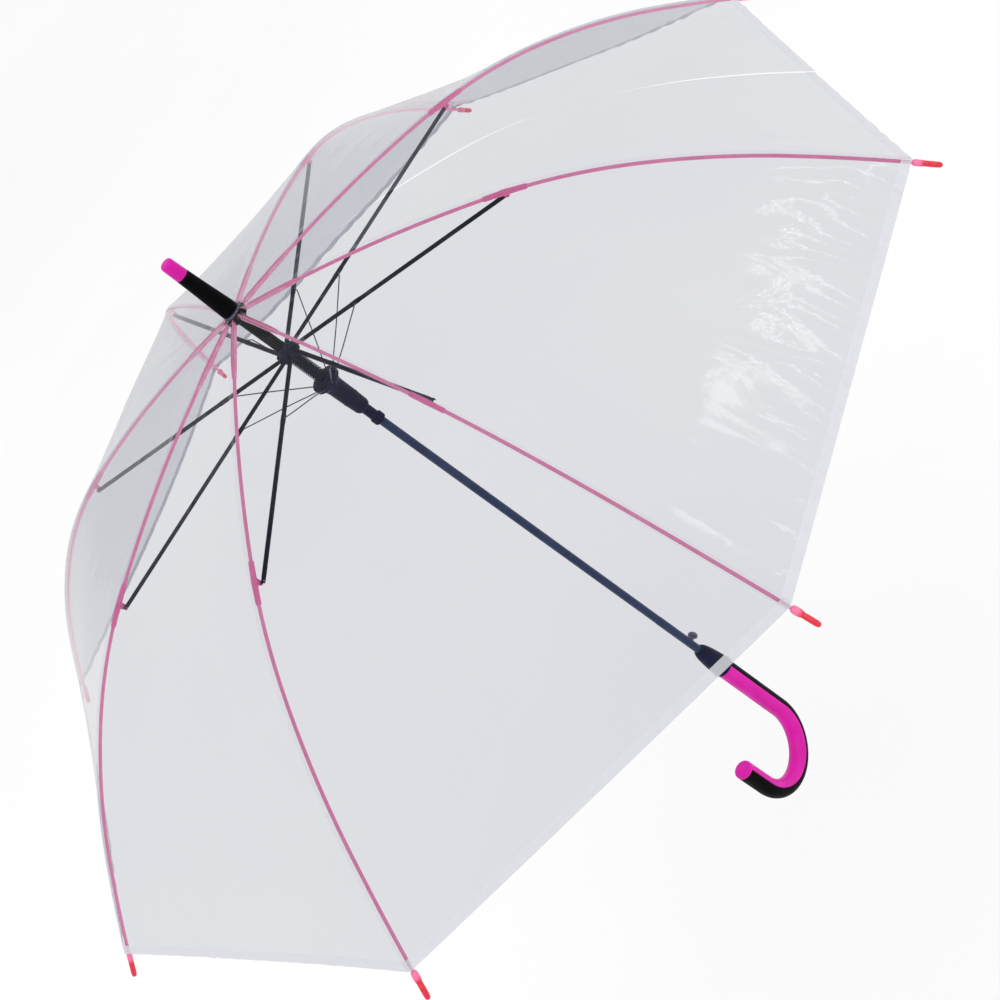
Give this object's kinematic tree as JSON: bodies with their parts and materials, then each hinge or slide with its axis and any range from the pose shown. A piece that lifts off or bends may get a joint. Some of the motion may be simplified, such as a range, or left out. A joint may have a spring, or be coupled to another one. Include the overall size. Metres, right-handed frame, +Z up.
{
  "type": "stick umbrella",
  "caption": "Open stick umbrella with a clear film canopy on coloured ribs, dark stretchers and shaft, a push-button runner and a two-tone crook handle.",
  "frame": {"origin": "on the shaft's axis, half way up the straight part of the crook handle, where a hand holds it", "axes": "+Z up the shaft towards the ferrule; the hook opens towards -X and the push button faces +X"},
  "size_m": [1.0176, 1.0176, 0.8763],
  "materials": {
    "shaft_metal": "satin dark navy enamel",
    "black_metal": "satin black enamel",
    "spring_steel": "dark oiled steel",
    "pink_metal": "satin pink enamel",
    "pink_plastic": "glossy translucent pink",
    "magenta_plastic": "satin magenta",
    "black_plastic": "satin black",
    "navy_plastic": "satin navy black",
    "grey_plastic": "satin violet grey",
    "clear_film": "clear glossy film"
  },
  "bodies": {
    "root": {"shaft": "shaft_metal", "top_notch": "black_plastic", "ferrule": "black_plastic", "ferrule_tip": "magenta_plastic", "handle_collar": "navy_plastic", "crook_handle": "magenta_plastic", "handle_back_strip": "black_plastic"},
    "upper_runner": {"upper_runner": "navy_plastic", "opening_spring": "spring_steel"},
    "lower_runner": {"lower_runner": "navy_plastic"},
    "push_button": {"push_button": "grey_plastic"},
    "rib_1": {"rib_inner_1": "pink_metal", "canopy_gore_1": "clear_film"},
    "rib_end_1": {"rib_outer_1": "pink_metal", "rib_cap_1": "pink_plastic"},
    "stretcher_1": {"stretcher_1": "black_metal"},
    "support_wire_1": {"support_wire_1": "spring_steel"},
    "rib_2": {"rib_inner_2": "pink_metal", "canopy_gore_2": "clear_film"},
    "rib_end_2": {"rib_outer_2": "pink_metal", "rib_cap_2": "pink_plastic"},
    "stretcher_2": {"stretcher_2": "black_metal"},
    "support_wire_2": {"support_wire_2": "spring_steel"},
    "rib_3": {"rib_inner_3": "pink_metal", "canopy_gore_3": "clear_film"},
    "rib_end_3": {"rib_outer_3": "pink_metal", "rib_cap_3": "pink_plastic"},
    "stretcher_3": {"stretcher_3": "black_metal"},
    "support_wire_3": {"support_wire_3": "spring_steel"},
    "rib_4": {"rib_inner_4": "pink_metal", "canopy_gore_4": "clear_film"},
    "rib_end_4": {"rib_outer_4": "pink_metal", "rib_cap_4": "pink_plastic"},
    "stretcher_4": {"stretcher_4": "black_metal"},
    "support_wire_4": {"support_wire_4": "spring_steel"},
    "rib_5": {"rib_inner_5": "pink_metal", "canopy_gore_5": "clear_film"},
    "rib_end_5": {"rib_outer_5": "pink_metal", "rib_cap_5": "pink_plastic"},
    "stretcher_5": {"stretcher_5": "black_metal"},
    "support_wire_5": {"support_wire_5": "spring_steel"},
    "rib_6": {"rib_inner_6": "pink_metal", "canopy_gore_6": "clear_film"},
    "rib_end_6": {"rib_outer_6": "pink_metal", "rib_cap_6": "pink_plastic"},
    "stretcher_6": {"stretcher_6": "black_metal"},
    "support_wire_6": {"support_wire_6": "spring_steel"},
    "rib_7": {"rib_inner_7": "pink_metal", "canopy_gore_7": "clear_film"},
    "rib_end_7": {"rib_outer_7": "pink_metal", "rib_cap_7": "pink_plastic"},
    "stretcher_7": {"stretcher_7": "black_metal"},
    "support_wire_7": {"support_wire_7": "spring_steel"},
    "rib_8": {"rib_inner_8": "pink_metal", "canopy_gore_8": "clear_film"},
    "rib_end_8": {"rib_outer_8": "pink_metal", "rib_cap_8": "pink_plastic"},
    "stretcher_8": {"stretcher_8": "black_metal"},
    "support_wire_8": {"support_wire_8": "spring_steel"}
  },
  "joints": [
    {"name": "runner_slide", "type": "slide", "parent": "root", "child": "upper_runner", "axis": [0, 0, -1], "range_m": [0, 0.4405], "stiffness_N_per_m": 30, "springref_m": -0.15, "deforming": ["canopy_gore_1", "canopy_gore_2", "canopy_gore_3", "canopy_gore_4", "canopy_gore_5", "canopy_gore_6", "canopy_gore_7", "canopy_gore_8"]},
    {"name": "sleeve_slide", "type": "slide", "parent": "upper_runner", "child": "lower_runner", "axis": [0, 0, 1], "range_m": [0, 0.0346], "deforming": ["opening_spring"]},
    {"name": "button_press", "type": "slide", "parent": "root", "child": "push_button", "axis": [-1, 0, 0], "range_m": [0, 0.0015], "stiffness_N_per_m": 400, "springref_m": -0.002},
    {"name": "rib_hinge_1", "type": "hinge", "parent": "root", "child": "rib_1", "pos_m": [0.00875, -0.00485, 0.7], "axis": [0.4848, 0.8746, 0], "range_deg": [0, 75.12]},
    {"name": "rib_bend_1", "type": "hinge", "parent": "rib_1", "child": "rib_end_1", "pos_m": [0.22556, -0.12503, 0.64446], "axis": [-0.4848, -0.8746, 0], "range_deg": [0, 22.13]},
    {"name": "stretcher_hinge_1", "type": "hinge", "parent": "upper_runner", "child": "stretcher_1", "pos_m": [0.00787, -0.00436, 0.64], "axis": [-0.4848, -0.8746, 0], "range_deg": [0, 88.67]},
    {"name": "wire_hinge_1", "type": "hinge", "parent": "lower_runner", "child": "support_wire_1", "pos_m": [0.01067, -0.00592, 0.596], "axis": [-0.4848, -0.8746, 0], "range_deg": [0, 58.81]},
    {"name": "rib_hinge_2", "type": "hinge", "parent": "root", "child": "rib_2", "pos_m": [0.00961, 0.00276, 0.7], "axis": [-0.2756, 0.9613, 0], "range_deg": [0, 75.12]},
    {"name": "rib_bend_2", "type": "hinge", "parent": "rib_2", "child": "rib_end_2", "pos_m": [0.2479, 0.07108, 0.64446], "axis": [0.2756, -0.9613, 0], "range_deg": [0, 22.13]},
    {"name": "stretcher_hinge_2", "type": "hinge", "parent": "upper_runner", "child": "stretcher_2", "pos_m": [0.00865, 0.00248, 0.64], "axis": [0.2756, -0.9613, 0], "range_deg": [0, 88.67]},
    {"name": "wire_hinge_2", "type": "hinge", "parent": "lower_runner", "child": "support_wire_2", "pos_m": [0.01173, 0.00336, 0.596], "axis": [0.2756, -0.9613, 0], "range_deg": [0, 58.81]},
    {"name": "rib_hinge_3", "type": "hinge", "parent": "root", "child": "rib_3", "pos_m": [0.00485, 0.00875, 0.7], "axis": [-0.8746, 0.4848, 0], "range_deg": [0, 75.12]},
    {"name": "rib_bend_3", "type": "hinge", "parent": "rib_3", "child": "rib_end_3", "pos_m": [0.12503, 0.22556, 0.64446], "axis": [0.8746, -0.4848, 0], "range_deg": [0, 22.13]},
    {"name": "stretcher_hinge_3", "type": "hinge", "parent": "upper_runner", "child": "stretcher_3", "pos_m": [0.00436, 0.00787, 0.64], "axis": [0.8746, -0.4848, 0], "range_deg": [0, 88.67]},
    {"name": "wire_hinge_3", "type": "hinge", "parent": "lower_runner", "child": "support_wire_3", "pos_m": [0.00592, 0.01067, 0.596], "axis": [0.8746, -0.4848, 0], "range_deg": [0, 58.81]},
    {"name": "rib_hinge_4", "type": "hinge", "parent": "root", "child": "rib_4", "pos_m": [-0.00276, 0.00961, 0.7], "axis": [-0.9613, -0.2756, 0], "range_deg": [0, 75.12]},
    {"name": "rib_bend_4", "type": "hinge", "parent": "rib_4", "child": "rib_end_4", "pos_m": [-0.07108, 0.2479, 0.64446], "axis": [0.9613, 0.2756, 0], "range_deg": [0, 22.13]},
    {"name": "stretcher_hinge_4", "type": "hinge", "parent": "upper_runner", "child": "stretcher_4", "pos_m": [-0.00248, 0.00865, 0.64], "axis": [0.9613, 0.2756, 0], "range_deg": [0, 88.67]},
    {"name": "wire_hinge_4", "type": "hinge", "parent": "lower_runner", "child": "support_wire_4", "pos_m": [-0.00336, 0.01173, 0.596], "axis": [0.9613, 0.2756, 0], "range_deg": [0, 58.81]},
    {"name": "rib_hinge_5", "type": "hinge", "parent": "root", "child": "rib_5", "pos_m": [-0.00875, 0.00485, 0.7], "axis": [-0.4848, -0.8746, 0], "range_deg": [0, 75.12]},
    {"name": "rib_bend_5", "type": "hinge", "parent": "rib_5", "child": "rib_end_5", "pos_m": [-0.22556, 0.12503, 0.64446], "axis": [0.4848, 0.8746, 0], "range_deg": [0, 22.13]},
    {"name": "stretcher_hinge_5", "type": "hinge", "parent": "upper_runner", "child": "stretcher_5", "pos_m": [-0.00787, 0.00436, 0.64], "axis": [0.4848, 0.8746, 0], "range_deg": [0, 88.67]},
    {"name": "wire_hinge_5", "type": "hinge", "parent": "lower_runner", "child": "support_wire_5", "pos_m": [-0.01067, 0.00592, 0.596], "axis": [0.4848, 0.8746, 0], "range_deg": [0, 58.81]},
    {"name": "rib_hinge_6", "type": "hinge", "parent": "root", "child": "rib_6", "pos_m": [-0.00961, -0.00276, 0.7], "axis": [0.2756, -0.9613, 0], "range_deg": [0, 75.12]},
    {"name": "rib_bend_6", "type": "hinge", "parent": "rib_6", "child": "rib_end_6", "pos_m": [-0.2479, -0.07108, 0.64446], "axis": [-0.2756, 0.9613, 0], "range_deg": [0, 22.13]},
    {"name": "stretcher_hinge_6", "type": "hinge", "parent": "upper_runner", "child": "stretcher_6", "pos_m": [-0.00865, -0.00248, 0.64], "axis": [-0.2756, 0.9613, 0], "range_deg": [0, 88.67]},
    {"name": "wire_hinge_6", "type": "hinge", "parent": "lower_runner", "child": "support_wire_6", "pos_m": [-0.01173, -0.00336, 0.596], "axis": [-0.2756, 0.9613, 0], "range_deg": [0, 58.81]},
    {"name": "rib_hinge_7", "type": "hinge", "parent": "root", "child": "rib_7", "pos_m": [-0.00485, -0.00875, 0.7], "axis": [0.8746, -0.4848, 0], "range_deg": [0, 75.12]},
    {"name": "rib_bend_7", "type": "hinge", "parent": "rib_7", "child": "rib_end_7", "pos_m": [-0.12503, -0.22556, 0.64446], "axis": [-0.8746, 0.4848, 0], "range_deg": [0, 22.13]},
    {"name": "stretcher_hinge_7", "type": "hinge", "parent": "upper_runner", "child": "stretcher_7", "pos_m": [-0.00436, -0.00787, 0.64], "axis": [-0.8746, 0.4848, 0], "range_deg": [0, 88.67]},
    {"name": "wire_hinge_7", "type": "hinge", "parent": "lower_runner", "child": "support_wire_7", "pos_m": [-0.00592, -0.01067, 0.596], "axis": [-0.8746, 0.4848, 0], "range_deg": [0, 58.81]},
    {"name": "rib_hinge_8", "type": "hinge", "parent": "root", "child": "rib_8", "pos_m": [0.00276, -0.00961, 0.7], "axis": [0.9613, 0.2756, 0], "range_deg": [0, 75.12]},
    {"name": "rib_bend_8", "type": "hinge", "parent": "rib_8", "child": "rib_end_8", "pos_m": [0.07108, -0.2479, 0.64446], "axis": [-0.9613, -0.2756, 0], "range_deg": [0, 22.13]},
    {"name": "stretcher_hinge_8", "type": "hinge", "parent": "upper_runner", "child": "stretcher_8", "pos_m": [0.00248, -0.00865, 0.64], "axis": [-0.9613, -0.2756, 0], "range_deg": [0, 88.67]},
    {"name": "wire_hinge_8", "type": "hinge", "parent": "lower_runner", "child": "support_wire_8", "pos_m": [0.00336, -0.01173, 0.596], "axis": [-0.9613, -0.2756, 0], "range_deg": [0, 58.81]}
  ],
  "couplings": [
    {"joint": "sleeve_slide", "follows": "runner_slide", "ratio": 0.078366},
    {"joint": "rib_hinge_1", "follows": "runner_slide", "rad_per_m": 2.9763},
    {"joint": "rib_bend_1", "follows": "runner_slide", "rad_per_m": 0.87643},
    {"joint": "stretcher_hinge_1", "follows": "runner_slide", "rad_per_m": 3.5131},
    {"joint": "wire_hinge_1", "follows": "runner_slide", "rad_per_m": 2.3301},
    {"joint": "rib_hinge_2", "follows": "runner_slide", "rad_per_m": 2.9763},
    {"joint": "rib_bend_2", "follows": "runner_slide", "rad_per_m": 0.87643},
    {"joint": "stretcher_hinge_2", "follows": "runner_slide", "rad_per_m": 3.5131},
    {"joint": "wire_hinge_2", "follows": "runner_slide", "rad_per_m": 2.3301},
    {"joint": "rib_hinge_3", "follows": "runner_slide", "rad_per_m": 2.9763},
    {"joint": "rib_bend_3", "follows": "runner_slide", "rad_per_m": 0.87643},
    {"joint": "stretcher_hinge_3", "follows": "runner_slide", "rad_per_m": 3.5131},
    {"joint": "wire_hinge_3", "follows": "runner_slide", "rad_per_m": 2.3301},
    {"joint": "rib_hinge_4", "follows": "runner_slide", "rad_per_m": 2.9763},
    {"joint": "rib_bend_4", "follows": "runner_slide", "rad_per_m": 0.87643},
    {"joint": "stretcher_hinge_4", "follows": "runner_slide", "rad_per_m": 3.5131},
    {"joint": "wire_hinge_4", "follows": "runner_slide", "rad_per_m": 2.3301},
    {"joint": "rib_hinge_5", "follows": "runner_slide", "rad_per_m": 2.9763},
    {"joint": "rib_bend_5", "follows": "runner_slide", "rad_per_m": 0.87643},
    {"joint": "stretcher_hinge_5", "follows": "runner_slide", "rad_per_m": 3.5131},
    {"joint": "wire_hinge_5", "follows": "runner_slide", "rad_per_m": 2.3301},
    {"joint": "rib_hinge_6", "follows": "runner_slide", "rad_per_m": 2.9763},
    {"joint": "rib_bend_6", "follows": "runner_slide", "rad_per_m": 0.87643},
    {"joint": "stretcher_hinge_6", "follows": "runner_slide", "rad_per_m": 3.5131},
    {"joint": "wire_hinge_6", "follows": "runner_slide", "rad_per_m": 2.3301},
    {"joint": "rib_hinge_7", "follows": "runner_slide", "rad_per_m": 2.9763},
    {"joint": "rib_bend_7", "follows": "runner_slide", "rad_per_m": 0.87643},
    {"joint": "stretcher_hinge_7", "follows": "runner_slide", "rad_per_m": 3.5131},
    {"joint": "wire_hinge_7", "follows": "runner_slide", "rad_per_m": 2.3301},
    {"joint": "rib_hinge_8", "follows": "runner_slide", "rad_per_m": 2.9763},
    {"joint": "rib_bend_8", "follows": "runner_slide", "rad_per_m": 0.87643},
    {"joint": "stretcher_hinge_8", "follows": "runner_slide", "rad_per_m": 3.5131},
    {"joint": "wire_hinge_8", "follows": "runner_slide", "rad_per_m": 2.3301}
  ]
}
